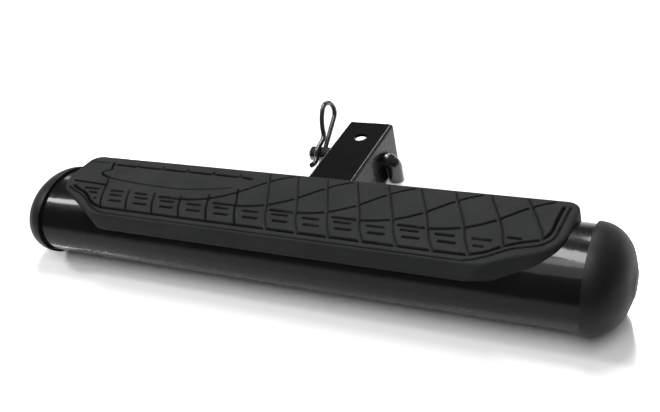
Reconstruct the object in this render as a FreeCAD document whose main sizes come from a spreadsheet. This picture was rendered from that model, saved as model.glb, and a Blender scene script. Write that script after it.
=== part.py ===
"""Hitch-mounted tailgate step, in millimetres.

An oval steel tube with a moulded tread pad and domed end caps is carried by a
square hitch bar, bolted between two cheeks that are welded to the back of the
tube. A bent hitch pin, kept by a spring clip, locks the bar in its receiver.

Frame: X along the oval tube, Y from the step towards the vehicle, Z up. The
origin is under the middle of the whole step, on the surface that it stands on.
"""
import FreeCAD, Part
import Sketcher
import os
import re
from math import asin, atan2, cos, degrees, radians, sin, sqrt

V = FreeCAD.Vector
Rotation = FreeCAD.Rotation

# Driving sizes: alias, value, what it is.
SIZES = [
    ("tube_length", 543.4, "oval tube, end to end"),
    ("tube_depth", 101.6, "oval tube, front to back"),
    ("tube_height", 76.2, "oval tube, bottom to top"),
    ("tube_wall", 2.0, "oval tube, wall"),
    ("lip_clearance", 0.25, "cap lip, gap round the tube"),
    ("lip_wall", 2.8, "cap lip, wall at the front and back"),
    ("lip_overlap", 5.0, "cap lip, length over the tube"),
    ("dome_depth", 34.5, "cap, lip edge to the top of the dome"),
    ("dome_power", 2.135, "cap dome, power of the curve: 2 is an ellipse"),
    ("dome_wall", 2.8, "cap dome, wall at its top"),
    ("skirt_length", 25.0, "cap skirt, length inside the tube"),
    ("skirt_wall", 2.5, "cap skirt, wall"),
    ("skirt_clearance", 0.3, "cap skirt, gap to the tube's inside at the top"),
    ("rib_clearance", 0.2, "cap skirt ribs, gap to the tube's inside"),
    ("rib_width", 2.0, "cap skirt ribs, width"),
    ("cap_seat_gap", 0.05, "tube end to the shoulder of the cap"),
    ("screw_setback", 13.0, "cap screws, from the tube's end"),
    ("screw_diameter", 4.2, "cap screws, thread"),
    ("screw_length", 12.0, "cap screws, under the head"),
    ("screw_head_diameter", 8.2, "cap screws, pan head"),
    ("screw_head_height", 2.6, "cap screws, pan head"),
    ("screw_clearance", 0.1, "cap screws, added to the hole's diameter"),
    ("recess_width", 1.0, "cap screws, width of the cross recess"),
    ("recess_length", 4.6, "cap screws, length of the cross recess"),
    ("recess_depth", 1.5, "cap screws, depth of the cross recess"),
    ("pad_width", 96.0, "tread pad, front to back"),
    ("pad_top", 3.5, "tread pad, crown above the top of the tube"),
    ("pad_drop", 4.1, "tread pad, edges below the crown"),
    ("pad_skirt_gap", 4.05, "tread pad, bottom of the skirt above the top plate"),
    ("pad_clearance", 0.3, "tread pad, gap over the tube"),
    ("pad_edge_radius", 3.0, "tread pad, rounding along the top edge"),
    ("pad_end_gap", 12.9, "tread pad, each end short of the cap's lip"),
    ("pad_sweep_radius", 35.0, "tread pad, first arc of the cut-back corner"),
    ("pad_sweep_turn", 38.0, "tread pad, turn of the first arc"),
    ("pad_flank_radius", 202.0, "tread pad, long arc of the cut-back corner"),
    ("pad_flank_turn", 11.0, "tread pad, turn of the long arc"),
    ("pad_end_radius", 29.4, "tread pad, arc into the end"),
    ("pad_end_turn", 60.0, "tread pad, turn of the arc into the end"),
    ("pad_corner_radius", 12.0, "tread pad, back corners"),
    ("pocket_pitch", 30.5, "tread pad, pitch of the pockets under it"),
    ("pocket_wall", 3.0, "tread pad, wall between two pockets"),
    ("pocket_inner", 30.0, "tread pad, pockets from the middle line"),
    ("pocket_skin", 3.4, "tread pad, walls left round the pockets"),
    ("stud_count", 6.0, "pad studs, number"),
    ("stud_end_distance", 43.85, "pad studs, end of the pad to the nearest"),
    ("stud_head_diameter", 12.0, "pad studs, head held in the pad"),
    ("stud_head_height", 1.5, "pad studs, head"),
    ("stud_neck_diameter", 6.0, "pad studs, neck"),
    ("stud_barb_diameter", 8.4, "pad studs, barbs under the tube's wall"),
    ("stud_barb_height", 4.0, "pad studs, one barb"),
    ("stud_fit", 0.05, "pad studs, gap round the head"),
    ("stud_hole_clearance", 0.3, "pad studs, gap round the neck"),
    ("stud_lip", 0.5, "tread pad, lip under a stud's head"),
    ("bar_width", 50.8, "hitch bar, square side"),
    ("bar_wall", 3.2, "hitch bar, wall"),
    ("bar_corner", 3.6, "hitch bar, outer corner radius"),
    ("bar_inner_corner", 0.6, "hitch bar, inner corner radius"),
    ("bar_length", 137.8, "hitch bar, length"),
    ("stop_gap", 0.2, "stop plate, gap to the tube and to the bar"),
    ("plate_thickness", 5.0, "bracket plates, thickness"),
    ("plate_gap", 0.1, "bracket plates, gap to the bar"),
    ("cope_gap", 0.1, "bracket plates, gap where they meet the tube"),
    ("cheek_root", 30.0, "cheeks, front edge behind the tube's axis"),
    ("cheek_bottom", 3.9, "cheeks, bottom edge above the ground"),
    ("cheek_toe", 56.0, "cheeks, length of the bottom edge"),
    ("cheek_toe_rise", 16.0, "cheeks, rise of the lower slope"),
    ("cheek_nose_rise", 28.0, "cheeks, bottom edge to the top of the nose"),
    ("cheek_reach", 76.5, "cheeks, front edge to the nose"),
    ("cheek_shoulder", 46.0, "cheeks, length of the top edge"),
    ("top_plate_reach", 74.0, "top plate, back edge behind the tube's axis"),
    ("weld_leg", 5.0, "weld beads, leg"),
    ("weld_gap", 0.05, "weld beads, gap to the tube"),
    ("weld_trim", 1.5, "weld beads, short of the cheek's corners"),
    ("bolt_diameter", 12.0, "bolts, shank"),
    ("bolt_clearance", 1.0, "bolts, added to the hole's diameter"),
    ("bolt_setback", 14.0, "bolts, front end of the bar to the first"),
    ("bolt_pitch", 22.5, "bolts, first to second along the bar"),
    ("bolt_low", 8.5, "bolts, first below the middle of the bar"),
    ("bolt_high", 2.0, "bolts, second above the middle of the bar"),
    ("bolt_head_height", 7.5, "bolts, head"),
    ("bolt_tail", 4.0, "bolts, thread past the nut"),
    ("hex_flats", 19.0, "bolts and nuts, across the flats"),
    ("nut_height", 10.8, "nuts, height"),
    ("nut_fit", 0.05, "nuts, gap round the bolt"),
    ("washer_diameter", 24.0, "flat washers, outside"),
    ("washer_thickness", 2.5, "flat washers, thickness"),
    ("lock_washer_diameter", 21.1, "spring washers, outside"),
    ("lock_washer_thickness", 2.5, "spring washers, thickness"),
    ("lock_washer_split", 1.6, "spring washers, width of the split"),
    ("sleeve_diameter", 20.0, "crush sleeves, outside"),
    ("sleeve_gap", 0.1, "crush sleeves, gap to each wall of the bar"),
    ("pin_diameter", 15.875, "hitch pin, diameter"),
    ("pin_hole_diameter", 16.7, "hitch bar, holes in its sides for the pin"),
    ("top_hole_diameter", 13.5, "hitch bar, holes in its top and bottom"),
    ("pin_from_end", 30.0, "hitch bar, open end to the pin"),
    ("pin_bend_radius", 9.8, "hitch pin, bend on the centre line"),
    ("pin_bend_inset", 0.9, "hitch pin, start of the bend inside the bar's side"),
    ("pin_leg_drop", 25.0, "hitch pin, axis to the tip of the leg"),
    ("pin_tip_x", 64.0, "hitch pin, middle of the bar to the straight tip"),
    ("pin_bevel", 2.5, "hitch pin, bevel on the straight tip"),
    ("pin_leg_bevel", 1.0, "hitch pin, bevel on the tip of the leg"),
    ("clip_x", 48.5, "spring clip, middle of the bar to the clip"),
    ("clip_wire", 5.4, "spring clip, wire"),
    ("clip_hole_clearance", 0.4, "spring clip, added to the hole's diameter"),
    ("clip_lean", 32.0, "spring clip, straight leg above the horizontal"),
    ("clip_twist", 15.0, "spring clip, turn about its straight leg"),
    ("clip_tip", 15.0, "spring clip, straight leg past the pin's axis"),
    ("clip_loop_radius", 10.6, "spring clip, round end of the loop on the centre line"),
    ("clip_loop_turn", 190.0, "spring clip, turn of the round end"),
    ("clip_flank_radius", 45.0, "spring clip, long side of the loop"),
    ("clip_neck_radius", 8.0, "spring clip, neck before the loop"),
    ("clip_leg_gap", 2.0, "spring clip, between its legs at the neck"),
    ("clip_neck_run", 11.0, "spring clip, straight run from the neck to the curve"),
    ("clip_hug_gap", 0.05, "spring clip, gap over the pin"),
    ("clip_crest_turn", 20.0, "spring clip, curve over the pin past its top"),
    ("clip_tail_run", 3.0, "spring clip, straight run after the curve"),
    ("clip_tail_radius", 11.5, "spring clip, curled tail"),
    ("clip_tail_turn", 76.0, "spring clip, turn of the curled tail"),
]

# Sizes and places that follow from the driving ones.
DERIVED = [
    ("rim_depth", "tube_depth + 2 * (lip_clearance + lip_wall)"),
    ("oval_ratio", "(tube_height + 2 * lip_clearance) / (tube_depth + 2 * lip_clearance)"),
    ("rim_height", "rim_depth * oval_ratio"),
    ("tube_z", "rim_height / 2"),
    ("tube_top", "tube_z + tube_height / 2"),
    ("shoulder_x", "tube_length / 2 + cap_seat_gap"),
    ("lip_x", "shoulder_x - lip_overlap"),
    ("pad_under", "tube_top + pad_clearance"),
    ("pad_crown_z", "tube_top + pad_top"),
    ("pad_edge_z", "pad_crown_z - pad_drop"),
    ("top_plate_z", "bar_width + plate_gap + plate_thickness"),
    ("pad_skirt", "pad_edge_z - top_plate_z - pad_skirt_gap"),
    ("pad_half_length", "lip_x - pad_end_gap"),
    ("stud_pitch", "2 * (pad_half_length - stud_end_distance) / (stud_count - 1)"),
    ("stud_head_z", "pad_under + stud_lip + stud_fit"),
    ("bar_half_bore", "bar_width / 2 - bar_wall"),
    ("bar_front_reach", "tube_depth / 2 + plate_thickness + 2 * stop_gap"),
    ("bar_end_reach", "bar_front_reach + bar_length"),
    ("pin_reach", "bar_end_reach - pin_from_end"),
    ("pin_leg_x", "bar_width / 2 - pin_bend_inset + pin_bend_radius"),
    ("clip_crest", "(pin_diameter / 2 + clip_hug_gap + clip_wire / 2)"
                   " / cos(clip_twist * 1deg)"),
    ("neck_w", "clip_neck_radius + clip_wire + clip_leg_gap"),
    ("neck_s", "sqrt((clip_crest + clip_neck_radius) ^ 2 + clip_neck_run ^ 2 - neck_w ^ 2)"),
    ("flank_spare", "clip_flank_radius - clip_loop_radius"),
    ("flank_w", "clip_loop_radius + flank_spare * cos(clip_loop_turn * 1deg)"),
    ("neck_to_flank", "sqrt((clip_flank_radius + clip_neck_radius) ^ 2"
                      " - (flank_w - neck_w) ^ 2)"),
    ("loop_s", "neck_s + neck_to_flank + flank_spare * sin(clip_loop_turn * 1deg)"),
    ("clip_rise", "sin(clip_lean * 1deg) * cos(clip_twist * 1deg)"),
    ("loop_reach", "pin_reach + loop_s * cos(clip_lean * 1deg)"
                   " + clip_loop_radius * (sqrt(cos(clip_lean * 1deg) ^ 2 + clip_rise ^ 2)"
                   " - clip_rise) + clip_wire / 2"),
    ("rear_reach", "max(loop_reach; bar_end_reach)"),
    ("tube_y", "(rim_depth / 2 - rear_reach) / 2"),
    ("bar_front_y", "tube_y + bar_front_reach"),
    ("bar_z", "bar_width / 2"),
    ("pin_y", "tube_y + pin_reach"),
    ("cheek_x", "bar_width / 2 + plate_gap"),
    ("cheek_face_x", "cheek_x + plate_thickness"),
    ("cheek_y", "tube_y + cheek_root"),
    ("cheek_top", "top_plate_z - cheek_bottom"),
    ("bolt_hole_diameter", "bolt_diameter + bolt_clearance"),
    ("bolt_one_y", "bar_front_y + bolt_setback"),
    ("bolt_one_z", "bar_z - bolt_low"),
    ("bolt_two_y", "bolt_one_y + bolt_pitch"),
    ("bolt_two_z", "bar_z + bolt_high"),
    ("washer_x", "cheek_face_x + washer_thickness"),
    ("nut_x", "washer_x + lock_washer_thickness"),
]

PREFIXED = {alias: "dims." + alias for alias, *_ in SIZES + DERIVED}

UPRIGHT = Rotation()
ALONG_X = Rotation(V(0, 1, 0), 90)
ALONG_Y = Rotation(V(1, 0, 0), -90)
# Turns a drawing in XY so that it stands in YZ and its normal is X.
FACING_X = Rotation(V(1, 1, 1), 120)

doc = FreeCAD.newDocument("TailgateStep")
sheet = doc.addObject("Spreadsheet::Sheet", "dims")
nodes = []


def fill_sheet():
    """Write the driving sizes, then the formulas that follow from them."""
    for row, (alias, value, meaning) in enumerate(SIZES, 1):
        sheet.set(f"A{row}", meaning)
        sheet.set(f"B{row}", str(value))
        sheet.setAlias(f"B{row}", alias)
    for row, (alias, formula) in enumerate(DERIVED, len(SIZES) + 1):
        sheet.set(f"B{row}", "=" + formula)
        sheet.setAlias(f"B{row}", alias)
    doc.recompute()


def size(alias):
    """One value of the sheet, as a number."""
    value = sheet.get(alias)
    return float(getattr(value, "Value", value))


def tied(text):
    """An expression in which each alias of the sheet becomes dims.alias."""
    return re.sub(r"[a-z][a-z_]*", lambda word: PREFIXED.get(word[0], word[0]), text)


def bind(thing, **expressions):
    """Tie properties of an object to the sheet."""
    for name, text in expressions.items():
        thing.setExpression(name, tied(text))


def place(thing, x="0", y="0", z="0", turn=UPRIGHT):
    """Turn an object and tie its place to the sheet."""
    thing.Placement = FreeCAD.Placement(V(), turn)
    for axis, text in zip("xyz", (x, y, z)):
        thing.setExpression(".Placement.Base." + axis, tied(text))


def keep(thing, name):
    """Make an object one of the sub-parts."""
    thing.Label = name
    nodes.append(thing)
    return thing


def box(name, length, width, height, x, y, z):
    """A box from its low corner."""
    block = doc.addObject("Part::Box", name)
    bind(block, Length=length, Width=width, Height=height)
    place(block, x, y, z)
    return block


def rod(name, diameter, length, x="0", y="0", z="0", turn=UPRIGHT):
    """A round rod from the middle of its first end."""
    bar = doc.addObject("Part::Cylinder", name)
    bind(bar, Radius=f"({diameter}) / 2", Height=length)
    place(bar, x, y, z, turn)
    return bar


def bevel(name, diameter, tip_diameter, length, x, y, z, turn):
    """A tapered end from the middle of its wide face."""
    cone = doc.addObject("Part::Cone", name)
    bind(cone, Radius1=f"({diameter}) / 2", Radius2=f"({tip_diameter}) / 2")
    bind(cone, Height=length)
    place(cone, x, y, z, turn)
    return cone


def hexagon(name, flats, length, x, y, z):
    """A hexagonal block along X, from the middle of its first end."""
    block = doc.addObject("Part::Prism", name)
    block.Polygon = 6
    bind(block, Circumradius=f"({flats}) / sqrt(3)", Height=length)
    place(block, x, y, z, ALONG_X)
    return block


def oval(name, half_depth, half_height, x):
    """An ellipse across the tube's axis."""
    curve = doc.addObject("Part::Ellipse", name)
    bind(curve, MajorRadius=half_depth, MinorRadius=half_height)
    place(curve, x, "tube_y", "tube_z", FACING_X)
    return curve


def oval_rod(name, half_depth, half_height, length, x):
    """An oval solid round the tube's axis, from x on."""
    solid = doc.addObject("Part::Extrusion", name)
    solid.Base = oval(name + "_outline", half_depth, half_height, x)
    solid.DirMode = "Normal"
    solid.Solid = True
    bind(solid, LengthFwd=length)
    return solid


def tube_cutter(name, gap):
    """The whole space of the tube with a gap round it."""
    return oval_rod(
        name, f"tube_depth / 2 + {gap}", f"tube_height / 2 + {gap}", "tube_length", "-tube_length / 2"
    )


def join(name, *pieces):
    """One solid, or several that stand apart, from overlapping pieces."""
    fused = doc.addObject("Part::MultiFuse", name)
    fused.Shapes = list(pieces)
    return fused


def cut(name, base, *tools):
    """A base with each tool taken out of it."""
    result = doc.addObject("Part::Cut", name)
    result.Base = base
    result.Tool = tools[0] if len(tools) == 1 else join(name + "_tools", *tools)
    return result


def common(name, one, other):
    """What two solids share."""
    result = doc.addObject("Part::Common", name)
    result.Base = one
    result.Tool = other
    return result


def group(name, pieces):
    """Separate solids of one node."""
    compound = doc.addObject("Part::Compound", name)
    compound.Links = list(pieces)
    return keep(compound, name)


def mirrored(name, source):
    """The same piece on the other side of X = 0."""
    copy = doc.addObject("Part::Mirroring", name)
    copy.Source = source
    copy.Normal = V(1, 0, 0)
    return keep(copy, name)


def solid_feature(name, shape):
    """A solid made with Part's own functions."""
    feature = doc.addObject("Part::Feature", name)
    feature.Shape = shape
    return feature


def walk(here, heading, steps):
    """Edges of straight runs and tangent arcs in XY, and where they end.

    A step is one length, or a radius and a turn in degrees, left positive.
    """
    edges = []
    for step in steps:
        along = V(cos(radians(heading)), sin(radians(heading)), 0)
        if len(step) == 1:
            there = here + along * step[0]
            edges.append(Part.LineSegment(here, there).toShape())
        else:
            radius, turn = step
            side = 90 if turn > 0 else -90
            centre = here + Rotation(V(0, 0, 1), side).multVec(along) * radius
            middle = centre + Rotation(V(0, 0, 1), turn / 2).multVec(here - centre)
            there = centre + Rotation(V(0, 0, 1), turn).multVec(here - centre)
            edges.append(Part.Arc(here, middle, there).toShape())
            heading += turn
        here = there
    return edges, here


def stations(count, pitch):
    """Evenly spaced places along X, as expressions."""
    return [f"{number - (count - 1) / 2} * {pitch}" for number in range(count)]


def stud_stations():
    """Places of the pad's studs."""
    return stations(int(size("stud_count")), "stud_pitch")


# ---------------------------------------------------------------- oval tube


def step_tube():
    """Oval tube with holes for the pad's studs and the caps' screws."""
    outside = tube_cutter("tube_outside", "0")
    inside = oval_rod(
        "tube_inside",
        "tube_depth / 2 - tube_wall",
        "tube_height / 2 - tube_wall",
        "tube_length + 2",
        "-tube_length / 2 - 1",
    )
    holes = []
    for number, station in enumerate(stud_stations()):
        holes.append(
            rod(
                f"stud_hole_{number}",
                "stud_neck_diameter + 2 * stud_hole_clearance",
                "tube_height / 2",
                station,
                "tube_y",
                "tube_z + tube_wall",
            )
        )
    for side in (-1, 1):
        holes.append(
            rod(
                f"tube_screw_hole_{side + 1}",
                "screw_diameter + screw_clearance",
                "tube_depth / 2",
                f"{side} * (tube_length / 2 - screw_setback)",
                "tube_y + tube_wall",
                "tube_z",
                ALONG_Y,
            )
        )
    keep(cut("step_tube", outside, inside, *holes), "step_tube")


# ----------------------------------------------------------------- end caps


def dome_curve(start, radius, depth):
    """The dome's profile from its rim, drawn with X out and Y from the axis."""
    power = size("dome_power")
    points = [V(start, radius, 0)]
    for angle in range(15, 90, 15):
        reach = depth * sin(radians(angle)) ** (2 / power)
        height = radius * cos(radians(angle)) ** (2 / power)
        points.append(V(start + reach, height, 0))
    points.append(V(start + depth, 0, 0))
    curve = Part.BSplineCurve()
    curve.interpolate(points, InitialTangent=V(1, 0, 0), FinalTangent=V(0, -1, 0))
    return curve.toShape(), points[0], points[-1]


def cap_ribs(skirt_end, seat):
    """Ribs that centre the skirt in the tube, as boxes in the round shape."""
    half_depth = size("tube_depth") / 2 - size("tube_wall") - size("rib_clearance")
    half_height = size("tube_height") / 2 - size("tube_wall") - size("rib_clearance")
    half_height /= size("oval_ratio")
    width = size("rib_width")
    length = seat - size("lip_overlap") - skirt_end
    upright = Part.makeBox(length, width, 2 * half_height, V(skirt_end, -width / 2, -half_height))
    over_screw = size("screw_head_diameter")
    reach = half_depth * sqrt(1 - ((over_screw + width) / half_height) ** 2)
    level = Part.makeBox(length, 2 * reach, width, V(skirt_end, -reach, over_screw))
    return upright.fuse(level)


def cap_shape():
    """One cap round the X axis, its lip's edge at X = 0.

    It is turned as a round piece and then flattened, so that its lip fits the
    oval tube.
    """
    seat = size("lip_overlap")
    lip = size("tube_depth") / 2 + size("lip_clearance")
    skirt = (size("tube_height") / 2 - size("tube_wall") - size("skirt_clearance")) / size("oval_ratio")
    bore = skirt - size("skirt_wall")
    skirt_end = seat - size("skirt_length")
    outside, rim, top = dome_curve(0, size("rim_depth") / 2, size("dome_depth"))
    hollow, mouth, roof = dome_curve(seat, bore, size("dome_depth") - seat - size("dome_wall"))
    inside = [mouth, V(skirt_end, bore, 0), V(skirt_end, skirt, 0), V(seat, skirt, 0)]
    inside += [V(seat, lip, 0), V(0, lip, 0), rim]
    edges = [outside, *Part.makePolygon([top, roof]).Edges, hollow, *Part.makePolygon(inside).Edges]
    turned = Part.Face(Part.Wire(edges)).revolve(V(), V(1, 0, 0), 360)
    core = Part.makeCylinder(bore, seat - skirt_end, V(skirt_end, 0, 0), V(1, 0, 0))
    ribbed = turned.fuse(cap_ribs(skirt_end, seat).cut(core))
    flatten = FreeCAD.Matrix()
    flatten.scale(1, 1, size("oval_ratio"))
    return ribbed.transformGeometry(flatten)


def end_cap_right():
    """Domed cap: a lip over the tube, a skirt and ribs inside it."""
    blank = solid_feature("cap_blank", cap_shape())
    place(blank, "lip_x", "tube_y", "tube_z")
    screw_hole = rod(
        "cap_screw_hole",
        "screw_diameter + screw_clearance",
        "tube_depth / 2",
        "tube_length / 2 - screw_setback",
        "tube_y + tube_wall",
        "tube_z",
        ALONG_Y,
    )
    return keep(cut("end_cap_right", blank, screw_hole), "end_cap_right")


def cap_screws():
    """Pan-head screws through the back of the tube into each cap's skirt."""
    screws = []
    for side in (-1, 1):
        x = f"{side} * (tube_length / 2 - screw_setback)"
        name = f"cap_screw_{side + 1}"
        shank = rod(
            name + "_shank",
            "screw_diameter",
            "screw_length + 1",
            x,
            "tube_y + tube_depth / 2 - screw_length",
            "tube_z",
            ALONG_Y,
        )
        head = rod(
            name + "_head",
            "screw_head_diameter",
            "screw_head_height",
            x,
            "tube_y + tube_depth / 2 + screw_clearance",
            "tube_z",
            ALONG_Y,
        )
        slots = []
        for letter, width, height in (
            ("a", "recess_length", "recess_width"),
            ("b", "recess_width", "recess_length"),
        ):
            slots.append(
                box(
                    name + "_slot_" + letter,
                    width,
                    "recess_depth + 1",
                    height,
                    f"{x} - {width} / 2",
                    "tube_y + tube_depth / 2 + screw_clearance + screw_head_height - recess_depth",
                    f"tube_z - {height} / 2",
                )
            )
        screws.append(cut(name, join(name + "_blank", shank, head), *slots))
    group("cap_screws", screws)


# ---------------------------------------------------------------- tread pad


def pad_end_steps():
    """The outline's right end, up to its back corner, and the heading there."""
    heading = size("pad_sweep_turn") - size("pad_flank_turn") + size("pad_end_turn")
    steps = [
        (size("pad_sweep_radius"), size("pad_sweep_turn")),
        (size("pad_flank_radius"), -size("pad_flank_turn")),
        (size("pad_end_radius"), size("pad_end_turn")),
    ]
    corner_rise = size("pad_corner_radius") * (1 + cos(radians(heading)))
    rise = size("pad_width") - corner_rise - walk(V(), 0, steps)[1].y
    steps.append((rise / sin(radians(heading)),))
    return steps, heading


def pad_front_half():
    """Half of the straight front edge: what the ends leave of the pad's length."""
    steps, heading = pad_end_steps()
    corner_reach = size("pad_corner_radius") * (1 - sin(radians(heading)))
    return size("pad_half_length") - walk(V(), 0, steps)[1].x - corner_reach


def pad_outline():
    """The pad's outline as a wire at Z = 0, round the origin."""
    steps, heading = pad_end_steps()
    steps.insert(0, (pad_front_half(),))
    steps.append((size("pad_corner_radius"), 180 - heading))
    start = V(0, -size("pad_width") / 2, 0)
    steps.append((walk(start, 0, steps)[1].x,))
    right = Part.Wire(walk(start, 0, steps)[0])
    left = right.mirror(V(), V(1, 0, 0))
    return Part.Wire(Part.__sortEdges__(right.Edges + left.Edges))


def pad_blank():
    """The pad as a block with a crowned top and a rounded top edge."""
    half = size("pad_width") / 2
    drop = size("pad_drop")
    skirt = size("pad_skirt")
    crown_radius = (half**2 + drop**2) / (2 * drop)
    reach = size("tube_length")
    block = Part.Face(pad_outline()).extrude(V(0, 0, skirt + 2 * drop))
    under_crown = Part.makeCylinder(
        crown_radius, 2 * reach, V(-reach, 0, skirt + drop - crown_radius), V(1, 0, 0)
    )
    blank = block.common(under_crown)
    crown = max(blank.Faces, key=lambda face: face.CenterOfMass.z)
    return blank.makeFillet(size("pad_edge_radius"), crown.OuterWire.Edges)


def step_pad():
    """Tread pad: it sits over the tube, hollowed by pockets along its edges."""
    blank = solid_feature("pad_blank", pad_blank())
    place(blank, "0", "tube_y", "pad_edge_z - pad_skirt")
    cutters = [tube_cutter("pad_seat", "pad_clearance")]
    count = int((2 * pad_front_half() + size("pocket_wall")) / size("pocket_pitch"))
    for number in range(count):
        x = f"{number - (count - 1) / 2} * pocket_pitch - (pocket_pitch - pocket_wall) / 2"
        for edge, y in (("front", "tube_y - pad_width / 2 + pocket_skin"), ("back", "tube_y + pocket_inner")):
            cutters.append(
                box(
                    f"pad_pocket_{edge}_{number}",
                    "pocket_pitch - pocket_wall",
                    "pad_width / 2 - pocket_skin - pocket_inner",
                    "pad_skirt - pocket_skin + 1",
                    x,
                    y,
                    "pad_edge_z - pad_skirt - 1",
                )
            )
    for number, station in enumerate(stud_stations()):
        cutters.append(
            rod(
                f"pad_stud_seat_{number}",
                "stud_head_diameter + 2 * stud_fit",
                "stud_head_height + 2 * stud_fit",
                station,
                "tube_y",
                "stud_head_z - stud_fit",
            )
        )
        cutters.append(
            rod(
                f"pad_stud_mouth_{number}",
                "stud_neck_diameter + 2 * stud_fit",
                "2 * stud_lip + 1",
                station,
                "tube_y",
                "pad_under - stud_lip - 1",
            )
        )
    keep(cut("step_pad", blank, *cutters), "step_pad")


def pad_studs():
    """Push-in studs: heads held in the pad, barbs under the tube's wall."""
    studs = []
    for number, station in enumerate(stud_stations()):
        name = f"pad_stud_{number}"
        head = rod(
            name + "_head", "stud_head_diameter", "stud_head_height", station, "tube_y", "stud_head_z"
        )
        neck = rod(
            name + "_neck",
            "stud_neck_diameter",
            "stud_head_z - tube_top + tube_wall + 3 * stud_barb_height + 1",
            station,
            "tube_y",
            "tube_top - tube_wall - 3 * stud_barb_height - 1",
        )
        barbs = []
        for level in range(3):
            barbs.append(
                bevel(
                    f"{name}_barb_{level}",
                    "stud_barb_diameter",
                    "stud_neck_diameter",
                    "stud_barb_height",
                    station,
                    "tube_y",
                    f"tube_top - tube_wall - stud_hole_clearance - {level} * stud_barb_height",
                    Rotation(V(1, 0, 0), 180),
                )
            )
        studs.append(join(name, head, neck, *barbs))
    group("pad_studs", studs)


# ---------------------------------------------------------------- hitch bar


def plane(body, role):
    """One of a body's own origin planes."""
    return next(item for item in body.Origin.OriginFeatures if item.Role == role)


def sketch_on(body, name, role):
    """An empty sketch on one of a body's origin planes."""
    sketch = body.newObject("Sketcher::SketchObject", name)
    sketch.AttachmentSupport = (plane(body, role), [""])
    sketch.MapMode = "FlatFace"
    return sketch


def tie(sketch, constraint, text):
    """Add a sized constraint and bind it to the sheet."""
    index = sketch.addConstraint(constraint)
    sketch.setExpression(f"Constraints[{index}]", tied(text))


def rounded_square(sketch, side, radius, half, corner):
    """A square with round corners, centred on the sketch's origin.

    side and radius are expressions; half and corner are their present values.
    """
    lines = []
    arcs = []
    for quarter in range(4):
        turn = Rotation(V(0, 0, 1), 90 * quarter)
        line = Part.LineSegment(
            turn.multVec(V(corner - half, -half, 0)), turn.multVec(V(half - corner, -half, 0))
        )
        lines.append(sketch.addGeometry(line, False))
        centre = turn.multVec(V(half - corner, corner - half, 0))
        circle = Part.Circle(centre, V(0, 0, 1), corner)
        begin = radians(90 * quarter - 90)
        arc = Part.ArcOfCircle(circle, begin, begin + radians(90))
        arcs.append(sketch.addGeometry(arc, False))
    for quarter in range(4):
        after = lines[(quarter + 1) % 4]
        sketch.addConstraint(Sketcher.Constraint("Tangent", lines[quarter], 2, arcs[quarter], 1))
        sketch.addConstraint(Sketcher.Constraint("Tangent", arcs[quarter], 2, after, 1))
        level = "Horizontal" if quarter % 2 == 0 else "Vertical"
        sketch.addConstraint(Sketcher.Constraint(level, lines[quarter]))
        if quarter > 0:
            sketch.addConstraint(Sketcher.Constraint("Equal", arcs[0], arcs[quarter]))
    sketch.addConstraint(Sketcher.Constraint("Symmetric", arcs[0], 3, arcs[2], 3, -1, 1))
    tie(sketch, Sketcher.Constraint("Radius", arcs[0], corner), radius)
    tie(sketch, Sketcher.Constraint("DistanceX", lines[3], 1, lines[1], 1, 2 * half), side)
    tie(sketch, Sketcher.Constraint("DistanceY", lines[0], 1, lines[2], 1, 2 * half), side)


def through_hole(body, name, role, diameter, along, across="0", below=False):
    """A round hole through both walls of the bar.

    On YZ_Plane it lies along from the bar's front end, and across above or
    below the bar's axis. On XY_Plane it lies on the axis.
    """
    sketch = sketch_on(body, name + "_sketch", role)
    off_axis = size("bar_corner")
    start = V(size("bar_width"), -off_axis if below else off_axis, 0)
    if role == "XY_Plane":
        start = V(0, size("bar_width"), 0)
    circle = sketch.addGeometry(Part.Circle(start, V(0, 0, 1), off_axis), False)
    tie(sketch, Sketcher.Constraint("Diameter", circle, 2 * off_axis), diameter)
    if role == "XY_Plane":
        sketch.addConstraint(Sketcher.Constraint("PointOnObject", circle, 3, -2))
        tie(sketch, Sketcher.Constraint("DistanceY", -1, 1, circle, 3, start.y), along)
    else:
        tie(sketch, Sketcher.Constraint("DistanceX", -1, 1, circle, 3, start.x), along)
        if across == "0":
            sketch.addConstraint(Sketcher.Constraint("PointOnObject", circle, 3, -1))
        elif below:
            tie(sketch, Sketcher.Constraint("DistanceY", circle, 3, -1, 1, off_axis), across)
        else:
            tie(sketch, Sketcher.Constraint("DistanceY", -1, 1, circle, 3, off_axis), across)
    pocket = body.newObject("PartDesign::Pocket", name)
    pocket.Profile = sketch
    pocket.SideType = "Symmetric"
    bind(pocket, Length="2 * bar_width")


def hitch_bar():
    """Square tube for a 2 inch receiver, with bolt holes and a pin station."""
    body = doc.addObject("PartDesign::Body", "hitch_bar")
    place(body, "0", "bar_front_y", "bar_z")
    outside = sketch_on(body, "bar_outside", "XZ_Plane")
    rounded_square(outside, "bar_width", "bar_corner", size("bar_width") / 2, size("bar_corner"))
    pad = body.newObject("PartDesign::Pad", "bar_blank")
    pad.Profile = outside
    pad.Reversed = True
    bind(pad, Length="bar_length")
    inside = sketch_on(body, "bar_inside", "XZ_Plane")
    half_bore = size("bar_width") / 2 - size("bar_wall")
    rounded_square(inside, "2 * bar_half_bore", "bar_inner_corner", half_bore, size("bar_inner_corner"))
    bore = body.newObject("PartDesign::Pocket", "bar_bore")
    bore.Profile = inside
    bore.SideType = "Symmetric"
    bind(bore, Length="2 * bar_length + 2")
    to_pin = "bar_length - pin_from_end"
    through_hole(body, "pin_cross_hole", "YZ_Plane", "pin_hole_diameter", to_pin)
    through_hole(body, "pin_top_hole", "XY_Plane", "top_hole_diameter", to_pin)
    hole = "bolt_hole_diameter"
    to_second = "bolt_setback + bolt_pitch"
    through_hole(body, "bar_hole_one", "YZ_Plane", hole, "bolt_setback", "bolt_low", below=True)
    through_hole(body, "bar_hole_two", "YZ_Plane", hole, to_second, "bolt_high")
    keep(body, "hitch_bar")


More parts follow.
